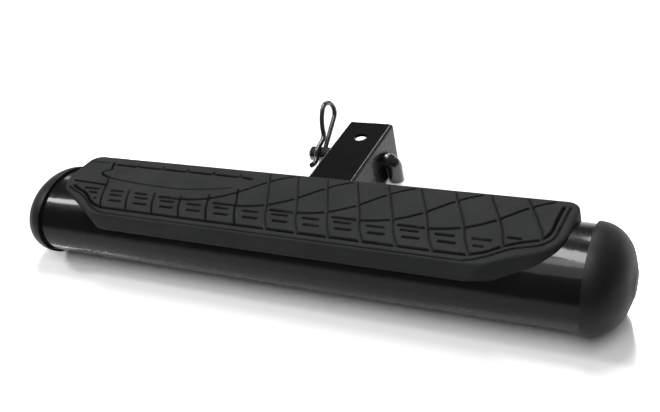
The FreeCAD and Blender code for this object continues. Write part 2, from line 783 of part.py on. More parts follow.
# ------------------------------------------------------------------ bracket


def bolt_stations():
    """Where the two bolts cross the bar: number, Y and Z."""
    return (("one", "bolt_one_y", "bolt_one_z"), ("two", "bolt_two_y", "bolt_two_z"))


def side_plate(name, corners, x, y, z):
    """A plate across X whose corners are given along Y and Z from its first."""
    sketch = doc.addObject("Sketcher::SketchObject", name + "_sketch")
    place(sketch, x, y, z, FACING_X)
    points = [V(*(float(doc.dims.evalExpression(tied(text))) for text in pair), 0) for pair in corners]
    for here, there in zip(points, points[1:] + points[:1]):
        sketch.addGeometry(Part.LineSegment(here, there), False)
    for number, (along, up) in enumerate(corners):
        before = (number - 1) % len(corners)
        sketch.addConstraint(Sketcher.Constraint("Coincident", before, 2, number, 1))
        for kind, text, axis in (("DistanceX", along, -2), ("DistanceY", up, -1)):
            if text == "0":
                sketch.addConstraint(Sketcher.Constraint("PointOnObject", number, 1, axis))
            else:
                tie(sketch, Sketcher.Constraint(kind, -1, 1, number, 1, size("plate_thickness")), text)
    plate = doc.addObject("Part::Extrusion", name)
    plate.Base = sketch
    plate.DirMode = "Normal"
    plate.Solid = True
    bind(plate, LengthFwd="plate_thickness")
    return plate


def bracket_cheek_right():
    """Side plate of the bracket: coped to the tube, drilled for the bolts."""
    corners = (
        ("0", "0"),
        ("cheek_toe", "0"),
        ("cheek_reach", "cheek_toe_rise"),
        ("cheek_reach", "cheek_nose_rise"),
        ("cheek_shoulder", "cheek_top"),
        ("0", "cheek_top"),
    )
    blank = side_plate("cheek_blank", corners, "cheek_x", "cheek_y", "cheek_bottom")
    holes = []
    for number, y, z in bolt_stations():
        holes.append(
            rod(
                f"cheek_hole_{number}",
                "bolt_hole_diameter",
                "plate_thickness + 2",
                "cheek_x - 1",
                y,
                z,
                ALONG_X,
            )
        )
    cheek = cut("bracket_cheek_right", blank, tube_cutter("cheek_cope", "cope_gap"), *holes)
    return keep(cheek, "bracket_cheek_right")


def cross_plates():
    """Stop plate before the bar's front end, and top plate over it."""
    stop = box(
        "bracket_stop_plate",
        "2 * cheek_x",
        "plate_thickness",
        "bar_width - cheek_bottom",
        "-cheek_x",
        "tube_y + tube_depth / 2 + stop_gap",
        "cheek_bottom",
    )
    keep(stop, "bracket_stop_plate")
    over = box(
        "top_plate_blank",
        "2 * cheek_x",
        "top_plate_reach - cheek_root",
        "plate_thickness",
        "-cheek_x",
        "cheek_y",
        "bar_width + plate_gap",
    )
    keep(cut("bracket_top_plate", over, tube_cutter("top_plate_cope", "cope_gap")), "bracket_top_plate")


def weld_bead_right():
    """Fillet weld along the line where the cheek meets the tube."""
    wide = oval("bead_wide", "tube_depth / 2 + weld_leg", "tube_height / 2 + weld_leg", "cheek_face_x")
    narrow = oval(
        "bead_narrow",
        "tube_depth / 2 + 2 * weld_gap",
        "tube_height / 2 + 2 * weld_gap",
        "cheek_face_x + weld_leg",
    )
    cone = doc.addObject("Part::Loft", "bead_cone")
    cone.Sections = [wide, narrow]
    cone.Solid = True
    cone.Ruled = True
    reach = box(
        "bead_reach",
        "weld_leg + 2",
        "tube_depth",
        "cheek_top - 2 * weld_trim",
        "cheek_face_x - 1",
        "cheek_y + weld_trim",
        "cheek_bottom + weld_trim",
    )
    bead = cut("weld_bead_right", common("bead_arc", cone, reach), tube_cutter("bead_seat", "weld_gap"))
    return keep(bead, "weld_bead_right")


# ---------------------------------------------------------------- fasteners


def bar_bolts():
    """Hexagon bolts through the cheeks, the bar and its sleeves."""
    bolts = []
    for number, y, z in bolt_stations():
        name = "bar_bolt_" + number
        head = hexagon(name + "_head", "hex_flats", "bolt_head_height", "washer_x", y, z)
        tail = "(nut_x + nut_height + bolt_tail)"
        shank = rod(
            name + "_shank", "bolt_diameter", f"{tail} + washer_x + 1", f"-{tail}", y, z, ALONG_X
        )
        bolts.append(join(name, head, shank))
    group("bar_bolts", bolts)


def ring(name, outside, bore, thickness, x, y, z):
    """A flat ring across X."""
    disc = rod(name + "_disc", outside, thickness, x, y, z, ALONG_X)
    hole = rod(name + "_bore", bore, f"{thickness} + 2", f"{x} - 1", y, z, ALONG_X)
    return cut(name, disc, hole)


def rings_round_bolts():
    """Flat washers on both cheeks, and crush sleeves inside the bar."""
    washers = []
    sleeves = []
    for number, y, z in bolt_stations():
        for side, x in (("right", "cheek_face_x"), ("left", "-washer_x")):
            washers.append(
                ring(
                    f"flat_washer_{side}_{number}",
                    "washer_diameter",
                    "bolt_hole_diameter",
                    "washer_thickness",
                    x,
                    y,
                    z,
                )
            )
        sleeves.append(
            ring(
                "crush_sleeve_" + number,
                "sleeve_diameter",
                "bolt_hole_diameter",
                "2 * (bar_half_bore - sleeve_gap)",
                "-(bar_half_bore - sleeve_gap)",
                y,
                z,
            )
        )
    group("flat_washers", washers)
    group("crush_sleeves", sleeves)


def lock_washers():
    """Split spring washers under the nuts."""
    washers = []
    for number, y, z in bolt_stations():
        name = "spring_washer_" + number
        whole = ring(
            name + "_ring",
            "lock_washer_diameter",
            "bolt_diameter + 2 * nut_fit",
            "lock_washer_thickness",
            "-nut_x",
            y,
            z,
        )
        split = box(
            name + "_split",
            "lock_washer_thickness + 2",
            "lock_washer_split",
            "lock_washer_diameter",
            "-nut_x - 1",
            f"{y} - lock_washer_split / 2",
            z,
        )
        washers.append(cut(name, whole, split))
    group("spring_washers", washers)


def bar_nuts():
    """Hexagon nuts on the left ends of the bolts."""
    nuts = []
    for number, y, z in bolt_stations():
        name = "bar_nut_" + number
        blank = hexagon(name + "_blank", "hex_flats", "nut_height", "-nut_x - nut_height", y, z)
        bore = rod(
            name + "_bore",
            "bolt_diameter + 2 * nut_fit",
            "nut_height + 2",
            "-nut_x - nut_height - 1",
            y,
            z,
            ALONG_X,
        )
        nuts.append(cut(name, blank, bore))
    group("bar_nuts", nuts)


# ------------------------------------------------------- hitch pin and clip


def hitch_pin():
    """Bent pin across the bar: bevelled tips and a cross hole for the clip."""
    straight = rod(
        "pin_straight",
        "pin_diameter",
        "pin_tip_x - pin_bevel + pin_leg_x - pin_bend_radius",
        "-pin_tip_x + pin_bevel",
        "pin_y",
        "bar_z",
        ALONG_X,
    )
    tip = bevel(
        "pin_tip",
        "pin_diameter",
        "pin_diameter - 2 * pin_bevel",
        "pin_bevel",
        "-pin_tip_x + pin_bevel",
        "pin_y",
        "bar_z",
        Rotation(V(0, 1, 0), -90),
    )
    bend = doc.addObject("Part::Torus", "pin_bend")
    bind(bend, Radius1="pin_bend_radius", Radius2="pin_diameter / 2")
    bend.Angle3 = 90
    place(
        bend,
        "pin_leg_x - pin_bend_radius",
        "pin_y",
        "bar_z - pin_bend_radius",
        Rotation(V(1, 0, 0), 90),
    )
    leg = rod(
        "pin_leg",
        "pin_diameter",
        "pin_leg_drop - pin_bend_radius - pin_leg_bevel",
        "pin_leg_x",
        "pin_y",
        "bar_z - pin_leg_drop + pin_leg_bevel",
    )
    leg_tip = bevel(
        "pin_leg_tip",
        "pin_diameter",
        "pin_diameter - 2 * pin_leg_bevel",
        "pin_leg_bevel",
        "pin_leg_x",
        "pin_y",
        "bar_z - pin_leg_drop + pin_leg_bevel",
        Rotation(V(1, 0, 0), 180),
    )
    lean = Rotation(V(1, 0, 0), size("clip_lean"))
    clip_hole = doc.addObject("Part::Cylinder", "pin_clip_hole")
    bind(clip_hole, Radius="(clip_wire + clip_hole_clearance) / 2", Height="pin_diameter + 2")
    place(
        clip_hole,
        "-clip_x",
        "pin_y - (pin_diameter / 2 + 1) * cos(clip_lean * 1deg)",
        "bar_z - (pin_diameter / 2 + 1) * sin(clip_lean * 1deg)",
        lean.multiply(ALONG_Y),
    )
    keep(cut("hitch_pin", join("pin_blank", straight, tip, bend, leg, leg_tip), clip_hole), "hitch_pin")


def pin_clip():
    """R-shaped spring clip: a straight leg through the pin, a leg over it."""
    neck = size("clip_neck_radius")
    flank = size("clip_flank_radius")
    crest = size("clip_crest")
    loop_end = 270 - degrees(asin((size("neck_w") - size("flank_w")) / (flank + neck)))
    to_neck = atan2(size("neck_w"), size("neck_s"))
    crest_start = degrees(to_neck + atan2(size("clip_neck_run"), crest + neck))
    steps = [
        (size("clip_tip") + size("loop_s"),),
        (size("clip_loop_radius"), size("clip_loop_turn")),
        (flank, loop_end - size("clip_loop_turn")),
        (neck, 90 + crest_start - loop_end),
        (size("clip_neck_run"),),
        (crest, 90 + size("clip_crest_turn") - crest_start),
        (size("clip_tail_run"),),
        (size("clip_tail_radius"), -size("clip_tail_turn")),
    ]
    start = V(-size("clip_tip"), 0, 0)
    path = Part.Wire(walk(start, 0, steps)[0])
    section = Part.Wire(Part.makeCircle(size("clip_wire") / 2, start, V(1, 0, 0)))
    clip = solid_feature("pin_clip", path.makePipeShell([section], True, False))
    lean = Rotation(V(1, 0, 0), size("clip_lean"))
    twist = Rotation(V(1, 0, 0), -size("clip_twist"))
    place(clip, "-clip_x", "pin_y", "bar_z", lean.multiply(FACING_X).multiply(twist))
    keep(clip, "pin_clip")


# -------------------------------------------------------------------- build


def check_document():
    """Stop if any object failed or any sub-part is not sound."""
    for thing in doc.Objects:
        if "Invalid" in thing.State or "Error" in thing.State:
            raise RuntimeError(f"{thing.Name} failed: {thing.State}")
    for node in nodes:
        if node.Shape.isNull() or not node.Shape.isValid() or not node.Shape.Solids:
            raise RuntimeError(f"{node.Label} has no sound shape")


def main():
    """Build every sub-part, check it, and write one STEP file for each."""
    fill_sheet()
    step_tube()
    step_pad()
    pad_studs()
    mirrored("end_cap_left", end_cap_right())
    cap_screws()
    hitch_bar()
    mirrored("bracket_cheek_left", bracket_cheek_right())
    cross_plates()
    mirrored("weld_bead_left", weld_bead_right())
    bar_bolts()
    rings_round_bolts()
    lock_washers()
    bar_nuts()
    hitch_pin()
    pin_clip()
    doc.recompute()
    check_document()
    os.makedirs("parts", exist_ok=True)
    for node in nodes:
        node.Shape.exportStep(f"parts/{node.Label}.step")


main()
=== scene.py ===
"""Looks of the hitch-mounted tailgate step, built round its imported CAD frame.

The tread pad is rebuilt here as one closed mesh with its moulded slots and
channels. Every other sub-part keeps its CAD shape and gets a procedural
material. Lengths of the tread are in millimetres, from the middle of the tube.
"""
import math

import bpy
import numpy as np
from mathutils import Matrix, Vector


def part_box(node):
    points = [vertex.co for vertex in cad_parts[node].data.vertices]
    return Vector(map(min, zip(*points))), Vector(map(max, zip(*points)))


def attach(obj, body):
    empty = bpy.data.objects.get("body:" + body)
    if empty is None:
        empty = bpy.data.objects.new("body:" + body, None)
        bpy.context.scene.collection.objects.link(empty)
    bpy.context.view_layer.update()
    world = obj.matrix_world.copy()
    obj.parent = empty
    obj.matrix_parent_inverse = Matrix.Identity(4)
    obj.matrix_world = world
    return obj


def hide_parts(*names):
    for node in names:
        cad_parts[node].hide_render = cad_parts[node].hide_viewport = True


MM = 0.001

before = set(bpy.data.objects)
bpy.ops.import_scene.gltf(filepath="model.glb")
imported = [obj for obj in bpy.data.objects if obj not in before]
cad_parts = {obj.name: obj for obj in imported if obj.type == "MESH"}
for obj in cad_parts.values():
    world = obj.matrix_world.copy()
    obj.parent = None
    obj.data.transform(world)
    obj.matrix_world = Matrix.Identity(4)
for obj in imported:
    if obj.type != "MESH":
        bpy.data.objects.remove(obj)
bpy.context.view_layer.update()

tube_low, tube_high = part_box("step_tube")
TUBE_MIDDLE = (tube_low + tube_high) / 2
pad_low, pad_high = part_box("step_pad")
PAD_HALF_LENGTH = (pad_high.x - pad_low.x) / 2 / MM
PAD_HALF_WIDTH = (pad_high.y - pad_low.y) / 2 / MM
PAD_CROWN = (pad_high.z - TUBE_MIDDLE.z) / MM
PAD_BOTTOM = (pad_low.z - TUBE_MIDDLE.z) / MM
TUBE_HALF_DEPTH = (tube_high.y - tube_low.y) / 2 / MM
TUBE_HALF_HEIGHT = (tube_high.z - tube_low.z) / 2 / MM


# --------------------------------------------------------------------- tread

# The pad's outline at its top and at its foot, for its right and left halves.
# Each half runs from the middle of the front edge round to the middle of the back
# edge: its length, then the radius and turn in degrees of the arcs into the end.
FOOT_HALF_LENGTH = PAD_HALF_LENGTH + 1.2
TOP_SHAPES = (
    (PAD_HALF_LENGTH, ((22.0, 34.0), (129.0, -14.0), (35.0, 67.0))),
    (PAD_HALF_LENGTH, ((30.0, 31.0), (880.0, -3.0), (28.0, 59.0))),
)
FOOT_SHAPES = (
    (FOOT_HALF_LENGTH, ((10.0, 13.0), (3000.0, -0.8), (38.0, 74.8))),
    (FOOT_HALF_LENGTH, ((20.0, 31.0), (1080.0, -3.0), (26.0, 59.0))),
)
# Heading in degrees of the straight end, and the radius of the corner behind it.
END_HEADING = 87.0
CORNER_RADIUS = 12.0
# The rounding along the top's edge, and how far the crown falls to the sides.
EDGE_RADIUS = 3.0
CROWN_DROP = 4.1
# How far along X the pad's middle lies from the tube's middle.
PAD_SHIFT = -2.4
# The skirt's wall, and the gap between the seat and the tube.
SKIRT_WALL = 3.4
SEAT_GAP = 0.3

# Points in each stretch of a half's outline: along the front and into the end,
# along the end and into its back corner, and along the back.
FRONT_STEPS = (280, 36, 60, 24)
END_STEPS = (42, 70, 28)
BACK_STEPS = (15, 385)
# Rings of points in the rounded edge and in the skirt.
EDGE_RINGS = 5
SKIRT_RINGS = 6

# The studs' heads that lie just under the tread. Round each of them the limit
# on the slots' depth rises again, past a margin.
STUD_COUNT = 6
STUD_PITCH = 84.0
STUD_HEAD_RADIUS = 6.0
STUD_MARGIN = 0.4
STUD_COVER = 0.25
STUD_RISE = 2.0
STUD_TOP = (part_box("pad_studs")[1].z - TUBE_MIDDLE.z) / MM


def step_forward(here, heading, radius, turn, share):
    """Where a share of an arc ends, and the heading there."""
    turned = math.radians(turn * share)
    side = 1.0 if turn > 0 else -1.0
    begin = math.radians(heading)
    centre = here + side * radius * np.array((-math.sin(begin), math.cos(begin)))
    end = begin + turned
    there = centre + side * radius * np.array((math.sin(end), -math.cos(end)))
    return there, heading + turn * share


def straight_runs(shape):
    """Lengths of the two straight runs: half of the front edge, and the end."""
    half_length, arcs = shape
    here = np.zeros(2)
    heading = 0.0
    for radius, turn in arcs:
        here, heading = step_forward(here, heading, radius, turn, 1.0)
    tilt = math.radians(END_HEADING)
    rise = 2 * PAD_HALF_WIDTH - CORNER_RADIUS * (1 + math.cos(tilt)) - here[1]
    reach = here[0] + rise / math.tan(tilt) + CORNER_RADIUS * (1 - math.sin(tilt))
    return half_length - reach, rise / math.sin(tilt)


def smooth_step(value):
    """Zero below zero, one above one, and smooth between."""
    value = np.clip(value, 0.0, 1.0)
    return value * value * (3 - 2 * value)


def half_outline(inset, shape):
    """Points of a half's outline moved inwards, and where its corners lie.

    The corners are those of the patch that fills the outline: one in the arc
    into the end, one in the back corner.
    """
    points = [np.array((0.0, inset - PAD_HALF_WIDTH))]
    heading = 0.0
    half_front, end_line = straight_runs(shape)
    first_arc, second_arc, (end_radius, end_turn) = shape[1]

    def line(length, count):
        """Add a straight run."""
        along = np.array((math.cos(math.radians(heading)), math.sin(math.radians(heading))))
        start = points[-1]
        for number in range(1, count + 1):
            points.append(start + along * length * number / count)

    def arc(radius, turn, count):
        """Add a round run; a left turn gets tighter inwards."""
        nonlocal heading
        start = points[-1]
        begin = heading
        bent = radius - inset if turn > 0 else radius + inset
        for number in range(1, count + 1):
            there, heading = step_forward(start, begin, bent, turn, number / count)
            points.append(there)

    line(half_front, FRONT_STEPS[0])
    arc(*first_arc, FRONT_STEPS[1])
    arc(*second_arc, FRONT_STEPS[2])
    arc(end_radius, end_turn / 2, FRONT_STEPS[3])
    front_corner = len(points) - 1
    arc(end_radius, end_turn / 2, END_STEPS[0])
    line(end_line, END_STEPS[1])
    corner_turn = (180.0 - END_HEADING) / 2
    arc(CORNER_RADIUS, corner_turn, END_STEPS[2])
    back_corner = len(points) - 1
    arc(CORNER_RADIUS, corner_turn, BACK_STEPS[0])
    line(points[-1][0], BACK_STEPS[1])
    return np.array(points), front_corner, back_corner


def ring_at(inset, foot=0.0):
    """The whole outline moved inwards, anticlockwise from its front middle.

    The foot's share runs from zero at the top to one at the foot.
    """
    halves = []
    for top_shape, foot_shape in zip(TOP_SHAPES, FOOT_SHAPES):
        top, _, _ = half_outline(inset, top_shape)
        low, _, _ = half_outline(inset, foot_shape)
        halves.append(top * (1 - foot) + low * foot)
    right, left = halves
    return np.vstack((right, left[-2:0:-1] * (-1.0, 1.0))) + (PAD_SHIFT, 0.0)


def patch_sides(inset):
    """The four sides of the patch that fills the outline: front, right, back, left."""
    right, first, last = half_outline(inset, TOP_SHAPES[0])
    left, _, _ = half_outline(inset, TOP_SHAPES[1])
    left = left * (-1.0, 1.0)
    front = np.vstack((left[first:0:-1], right[: first + 1]))
    back = np.vstack((left[last:-1], right[: last - 1 : -1]))
    return front, right[first : last + 1], back, left[first : last + 1]


def fill_patch(inset):
    """A grid of points over the outline, row by row from the front."""
    front, right, back, left = patch_sides(inset)
    across = np.linspace(0.0, 1.0, len(front))[None, :, None]
    along = np.linspace(0.0, 1.0, len(right))[:, None, None]
    ruled = (1 - along) * front[None] + along * back[None]
    ruled = ruled + (1 - across) * left[:, None] + across * right[:, None]
    corners = (1 - along) * ((1 - across) * front[0] + across * front[-1])
    corners = corners + along * ((1 - across) * back[0] + across * back[-1])
    return ruled - corners + (PAD_SHIFT, 0.0)


def smooth_line(points, spans=8):
    """A curve through a few points, as many short runs."""
    points = np.array(points, dtype=float)
    padded = np.vstack((2 * points[0] - points[1], points, 2 * points[-1] - points[-2]))
    share = np.linspace(0.0, 1.0, spans, endpoint=False)[:, None]
    runs = []
    for before, here, there, after in zip(padded, padded[1:], padded[2:], padded[3:]):
        runs.append(
            0.5
            * (
                2 * here
                + (there - before) * share
                + (2 * before - 5 * here + 4 * there - after) * share**2
                + (3 * here - before - 3 * there + after) * share**3
            )
        )
    return np.vstack((*runs, points[-1:]))


def nearest(points, line, reach):
    """Distance from each point to a line of short runs, and the way to it.

    Points further than reach keep an endless distance.
    """
    distance = np.full(len(points), np.inf)
    way = np.zeros_like(points)
    low = line.min(axis=0) - reach
    high = line.max(axis=0) + reach
    near = np.flatnonzero(((points > low) & (points < high)).all(axis=1))
    for start, end in zip(line, line[1:]):
        span = end - start
        low = np.minimum(start, end) - reach
        high = np.maximum(start, end) + reach
        some = near[((points[near] > low) & (points[near] < high)).all(axis=1)]
        offset = points[some] - start
        share = np.clip(offset @ span / (span @ span), 0.0, 1.0)
        offset -= share[:, None] * span
        length = np.hypot(offset[:, 0], offset[:, 1])
        closer = length < distance[some]
        distance[some[closer]] = length[closer]
        way[some[closer]] = offset[closer]
    return distance, way


# The channels lean across the pad, side by side: the first few are narrow, the
# others wide. The line runs along one of them, from the front.
CHANNEL_PITCH = 30.5
CHANNEL_FIRST = -186.0
CHANNEL_COUNT = 15
CHANNEL_FRONT = -38.6
CHANNEL_BACK = 43.5
CHANNEL_LINE = (
    (1.5, -41.5), (0.0, -38.0), (-7.5, -25.0), (-11.6, -15.0), (-15.5, -5.0),
    (-20.5, 6.0), (-24.5, 15.0), (-30.2, 27.0), (-34.5, 36.0), (-38.0, 44.0), (-39.0, 48.0),
)
# Where each narrow channel stops at the plate, where they all begin, and both ends
# of their short pieces behind the plate.
NARROW_STOPS = (4.6, -9.0, -9.0, -9.0, -3.5, 9.5)
NARROW_FRONT = -39.0
NARROW_BACK = (31.5, 37.0)
# The front ends of the last two channels, which the border cuts short.
SHORT_FRONTS = {CHANNEL_COUNT - 2: -24.5, CHANNEL_COUNT - 1: -12.5}
# The channels after this one bend to the right, each more than the one before it,
# and only behind this Y.
BEND_AFTER = 9
BEND_GROWTH = 0.16
BEND_FRONT = -34.0
# One of the long curved slots that cross the channels.
SWEEP_LINE = (
    (-69.0, -14.2), (-46.0, -14.2), (-32.0, -12.8), (-18.0, -9.2), (-6.0, -3.8),
    (6.0, 4.3), (16.0, 14.0), (26.0, 25.0), (36.0, 34.5), (47.0, 42.6),
)
# A wide channel falls slowly from its left side to a slot along its right, and
# the sweeps and the border stop short of that slot.
EDGE_OFFSET = 1.9
SLOPE_WIDTH = 4.4
SLOPE_DEPTH = 1.0
SWEEP_STOP = 2.8


def shifted(line, by):
    """A line moved along X."""
    return np.array(line) + (by, 0.0)


def clipped(line, low, high):
    """The part of a line whose Y lies between two values."""
    return line[(line[:, 1] >= low) & (line[:, 1] <= high)]


def narrow_channels():
    """The narrow channels of the left half; behind them lies the plate."""
    whole = smooth_line(CHANNEL_LINE)
    lines = []
    for number, stop in enumerate(NARROW_STOPS):
        line = shifted(whole, CHANNEL_FIRST + CHANNEL_PITCH * number)
        lines.append(clipped(line, NARROW_FRONT, stop))
        if number:
            lines.append(clipped(line, *NARROW_BACK))
    return lines


def channels():
    """The slots along the right sides of the wide channels."""
    whole = smooth_line(CHANNEL_LINE)
    lines = []
    for number in range(len(NARROW_STOPS), CHANNEL_COUNT):
        line = shifted(whole, CHANNEL_FIRST + CHANNEL_PITCH * number + EDGE_OFFSET)
        bend = BEND_GROWTH * max(number - BEND_AFTER, 0) ** 2
        line[:, 0] += bend * np.clip(1 - line[:, 1] / BEND_FRONT, 0.0, 1.0)
        front = SHORT_FRONTS.get(number, CHANNEL_FRONT)
        lines.append(clipped(line, front, CHANNEL_BACK))
    return lines


BORDER_LINE = (
    (-237.0, -12.2), (-228.0, -16.6), (-218.0, -20.4), (-211.0, -24.8), (-204.0, -30.3),
    (-196.0, -35.0), (-186.0, -37.6), (-174.0, -38.4), (-100.0, -38.6), (0.0, -38.6),
    (100.0, -38.6), (172.0, -38.5), (182.0, -37.0), (191.5, -33.6), (199.0, -28.6),
    (205.0, -24.2), (217.0, -18.0), (229.0, -13.2), (233.5, -9.2), (236.2, -3.5),
    (237.2, 3.5), (238.0, 20.0), (238.8, 36.0),
)
TRIM_LINE = (
    (-242.0, -14.6), (-231.0, -19.8), (-222.0, -23.2), (-213.0, -27.6), (-204.5, -33.4),
    (-197.0, -38.4), (-189.0, -42.2), (-180.0, -44.6), (-165.0, -45.2), (-80.0, -45.2),
    (0.0, -45.2), (80.0, -45.2), (165.0, -45.3), (180.0, -43.8), (192.0, -39.0),
    (202.0, -32.6), (211.0, -26.6), (220.0, -23.0), (229.5, -19.8), (236.0, -15.0),
    (240.6, -8.0), (242.2, 3.0), (243.4, 20.0), (244.2, 36.0),
)
NOTCH_LINE = (
    (-222.0, 34.8), (-218.2, 27.5), (-215.2, 20.5),
    (-220.0, 17.6), (-220.6, 13.0), (-215.0, 9.3), (-207.0, 6.6),
)
PLATE_LINE = (
    (-207.0, 6.6), (-197.0, 4.8), (-184.0, 3.3), (-165.0, 1.6), (-140.0, 0.4),
    (-120.0, 0.2), (-106.0, 1.4), (-91.0, 4.2), (-76.0, 7.4), (-65.0, 11.4),
)
LEDGE_LINE = ((-243.0, -4.0), (-236.0, -4.5), (-218.0, -5.3), (-201.0, -6.0))
SIDE_LINE = ((-252.5, 33.4), (-240.0, 33.5), (-227.0, 33.6))

# Single dashes: both ends along X, and their Y.
LONE_DASHES = (
    (-222.0, -205.0, -13.6), (-188.8, -175.4, -13.6), (-159.8, -146.2, -13.6),
    (206.5, 215.5, -13.8), (-212.0, -204.0, -19.2), (-200.6, -199.4, -27.2),
    (182.6, 188.6, -27.6),
)
# Rows of dashes: how many, the middle of the first, half a dash, and their Y.
DASH_ROWS = ((13, -179.1, 7.0, -19.7), (12, -175.3, 6.6, -27.6))
DASH_PITCH = 30.45
# The long dashes behind the plate: both ends of the first, then the shorter last
# one's right end, all at the channels' pitch.
LONG_DASH_COUNT = 6
LONG_DASH_START = (-215.0, 31.6)
LONG_DASH_END = (-191.0, 31.2)
LAST_DASH_END = (-205.0, 29.8)


def dashes():
    """Short slots in three rows along the front."""
    every = list(LONE_DASHES)
    for count, first, half, y in DASH_ROWS:
        for number in range(count):
            middle = first + DASH_PITCH * number
            every.append((middle - half, middle + half, y))
    return [np.array(((low, y), (high, y))) for low, high, y in every]


def back_row():
    """The long slots behind the plate, one between each pair of channels."""
    ends = [LONG_DASH_END] * (LONG_DASH_COUNT - 1) + [LAST_DASH_END]
    return [
        shifted((LONG_DASH_START, end), CHANNEL_PITCH * number) for number, end in enumerate(ends)
    ]


def sweeps():
    """The long curved slots."""
    whole = smooth_line(SWEEP_LINE)
    return [shifted(whole, 2 * CHANNEL_PITCH * number) for number in range(-1, 4)]


# Width, depth and wall of each kind of slot, and the strength of the painted shade on its bottom.
KINDS = {
    "channel": (2.5, 1.7, 0.9, 0.5),
    "narrow": (2.3, 2.2, 0.4, 0.9),
    "sweep": (3.1, 2.4, 0.3, 1.0),
    "dash": (2.9, 2.4, 0.3, 1.0),
    "long_dash": (4.0, 2.4, 0.3, 1.0),
    "border": (3.1, 2.3, 0.3, 1.0),
    "notch": (3.0, 2.2, 0.3, 1.0),
    "trim": (2.5, 1.5, 0.6, 0.65),
    "plate": (1.9, 1.1, 0.3, 0.8),
}
# How far a slot's line acts, the distance between the points of the grid, and the
# share of it by which a point may move onto a slot's edge.
SLOT_REACH = 4.8
POINT_SPACING = 0.64
SNAP_SHARE = 0.45
# A slot's painted shade on its bottom starts this far outside it, and its edge is that much steeper than
# the wall.
PAINTED_SHADE_MARGIN = 0.12
PAINTED_SHADE_SHARPER = 0.05


def stud_limit(points):
    """The deepest a slot may go at each point and still cover the studs' heads."""
    limit = np.full(len(points), np.inf)
    roof = crown_height(points[:, 1]) - STUD_TOP - STUD_COVER
    for number in range(STUD_COUNT):
        middle = STUD_PITCH * (number - (STUD_COUNT - 1) / 2)
        away = np.hypot(points[:, 0] - middle, points[:, 1])
        clear = np.maximum(away - STUD_HEAD_RADIUS - STUD_MARGIN, 0.0)
        limit = np.minimum(limit, roof + STUD_RISE * clear)
    return limit


def slots():
    """The lines of each kind of slot."""
    return {
        "channel": channels(),
        "narrow": narrow_channels(),
        "sweep": sweeps(),
        "dash": dashes(),
        "long_dash": back_row(),
        "border": [smooth_line(BORDER_LINE)],
        "notch": [smooth_line(NOTCH_LINE), np.array(LEDGE_LINE)],
        "trim": [smooth_line(TRIM_LINE), np.array(SIDE_LINE)],
        "plate": [smooth_line(PLATE_LINE)],
    }


def carve(points):
    """Move points onto the slots' edges and give the depth and the painted shade at each."""
    lines = slots()
    for snap in (True, False):
        depth = np.zeros(len(points))
        tone_and_painted_shade = np.zeros(len(points))
        edge = np.full(len(points), np.inf)
        move = np.zeros_like(points)
        room = np.full(len(points), np.inf)
        for kind, group in lines.items():
            width, deep, wall, dark = KINDS[kind]
            for line in group:
                distance, way = nearest(points, line, SLOT_REACH)
                inside = width / 2 - distance
                if kind == "channel":
                    on_left = (way[:, 0] < 0.0) & np.isfinite(distance)
                    slope = np.clip(1 - distance[on_left] / SLOPE_WIDTH, 0.0, 1.0)
                    depth[on_left] = np.maximum(depth[on_left], SLOPE_DEPTH * slope)
                    room[on_left] = np.minimum(room[on_left], distance[on_left] - SWEEP_STOP)
                if kind in ("sweep", "border"):
                    # These stop short of the channels that cross them.
                    inside = np.minimum(inside, room)
                depth = np.maximum(depth, deep * smooth_step(inside / wall))
                # Painted shade: the slot's bottom and a thin margin round it are darkened, by the kind's
                # strength.
                bottom = smooth_step((inside + PAINTED_SHADE_MARGIN) / (wall - PAINTED_SHADE_SHARPER))
                tone_and_painted_shade = np.maximum(tone_and_painted_shade, dark * bottom)
                close = np.abs(inside) < np.minimum(np.abs(edge), SNAP_SHARE * POINT_SPACING)
                close &= np.isfinite(distance) & (distance > 1e-6)
                edge[close] = inside[close]
                length = distance[close][:, None]
                move[close] = way[close] / length * inside[close][:, None]
        if snap:
            points = points + move
    return points, np.minimum(depth, stud_limit(points)), tone_and_painted_shade


def crown_height(y):
    """Height of the pad's crowned top over the tube's middle."""
    radius = (PAD_HALF_WIDTH**2 + CROWN_DROP**2) / (2 * CROWN_DROP)
    return PAD_CROWN - radius + np.sqrt(radius**2 - y**2)


class Skin:
    """A mesh in the making: its points, the painted shade at each and its faces."""

    def __init__(self):
        self.points = []
        self.painted_shades = []
        self.faces = []

    def add(self, points, heights, tone_and_painted_shade=None):
        """Add points and give their numbers."""
        first = sum(len(part) for part in self.points)
        self.points.append(np.column_stack((points, heights)))
        self.painted_shades.append(np.zeros(len(points)) if tone_and_painted_shade is None else tone_and_painted_shade)
        return np.arange(first, first + len(points))

    def join(self, *corners):
        """Add faces, given the numbers of their first corners, second corners and so on."""
        self.faces.extend(zip(*(numbers.ravel().tolist() for numbers in corners)))

    def bridge(self, outer, inner):
        """Add the faces between two rings of as many points."""
        self.join(outer, np.roll(outer, -1), np.roll(inner, -1), inner)

    def fill(self, grid, faces_up):
        """Add the faces of a grid of points."""
        near_left = grid[:-1, :-1]
        near_right = grid[:-1, 1:]
        far_right = grid[1:, 1:]
        far_left = grid[1:, :-1]
        if faces_up:
            self.join(near_left, near_right, far_right, far_left)
        else:
            self.join(near_left, far_left, far_right, near_right)


def rim_of(grid):
    """The numbers round a grid, anticlockwise from the middle of its front."""
    half = grid.shape[1] // 2
    sides = (grid[:-1, -1], grid[-1, :0:-1], grid[:0:-1, 0])
    return np.concatenate((grid[0, half:-1], *sides, grid[0, :half]))


def add_top(skin):
    """Add the crowned top with its slots, and give its rim."""
    top = fill_patch(EDGE_RADIUS)
    flat = top.reshape(-1, 2)
    on_rim = np.ones(top.shape[:2], dtype=bool)
    on_rim[1:-1, 1:-1] = False
    on_rim = on_rim.ravel()
    carved, depth, tone_and_painted_shade = carve(flat)
    carved[on_rim] = flat[on_rim]
    numbers = skin.add(carved, crown_height(carved[:, 1]) - depth, tone_and_painted_shade).reshape(top.shape[:2])
    skin.fill(numbers, faces_up=True)
    return rim_of(numbers)


